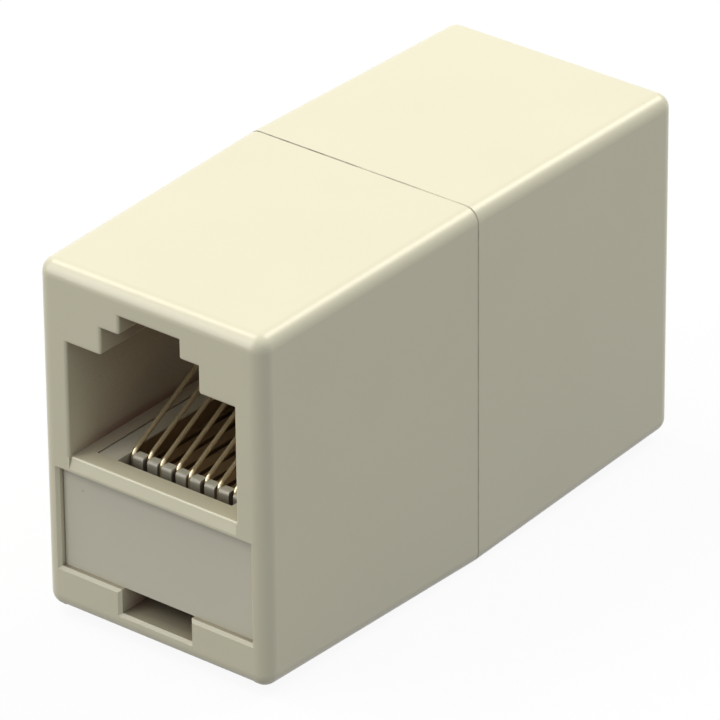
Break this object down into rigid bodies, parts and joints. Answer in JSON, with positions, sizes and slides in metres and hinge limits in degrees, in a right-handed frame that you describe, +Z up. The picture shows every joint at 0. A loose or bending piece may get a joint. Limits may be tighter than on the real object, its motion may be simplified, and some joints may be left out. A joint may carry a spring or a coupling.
{
  "type": "rj45 inline coupler",
  "caption": "In-line coupler that joins two network patch leads end to end: two drafted ivory half shells with a modular plug socket in each end and sprung wire contacts.",
  "frame": {"origin": "under the seam, at the middle of the footprint, on the surface that the coupler stands on", "axes": "+X across the coupler, +Y along it from the front mouth toward the rear mouth, +Z up"},
  "size_m": [0.0164, 0.0374, 0.0227],
  "materials": {
    "shell_abs": "satin, moulded, ivory",
    "carrier_abs": "satin, moulded, ivory",
    "gold_plated_bronze": "polished, gold plated",
    "tinned_copper": "bright tin plate",
    "pvc_white": "satin, extruded",
    "pvc_orange": "satin, extruded",
    "pvc_black": "satin, extruded",
    "pvc_red": "satin, extruded",
    "pvc_green": "satin, extruded",
    "pvc_yellow": "satin, extruded",
    "pvc_blue": "satin, extruded",
    "pvc_brown": "satin, extruded"
  },
  "bodies": {
    "root": {"front_housing": "shell_abs", "front_carrier": "carrier_abs", "front_contact_1": "gold_plated_bronze", "front_contact_2": "gold_plated_bronze", "front_contact_3": "gold_plated_bronze", "front_contact_4": "gold_plated_bronze", "front_contact_5": "gold_plated_bronze", "front_contact_6": "gold_plated_bronze", "front_contact_7": "gold_plated_bronze", "front_contact_8": "gold_plated_bronze", "front_crimp_sleeves": "tinned_copper", "rear_housing": "shell_abs", "rear_carrier": "carrier_abs", "rear_contact_1": "gold_plated_bronze", "rear_contact_2": "gold_plated_bronze", "rear_contact_3": "gold_plated_bronze", "rear_contact_4": "gold_plated_bronze", "rear_contact_5": "gold_plated_bronze", "rear_contact_6": "gold_plated_bronze", "rear_contact_7": "gold_plated_bronze", "rear_contact_8": "gold_plated_bronze", "rear_crimp_sleeves": "tinned_copper", "lead_1": "pvc_white", "lead_2": "pvc_orange", "lead_3": "pvc_black", "lead_4": "pvc_red", "lead_5": "pvc_green", "lead_6": "pvc_yellow", "lead_7": "pvc_blue", "lead_8": "pvc_brown"}
  },
  "joints": []
}
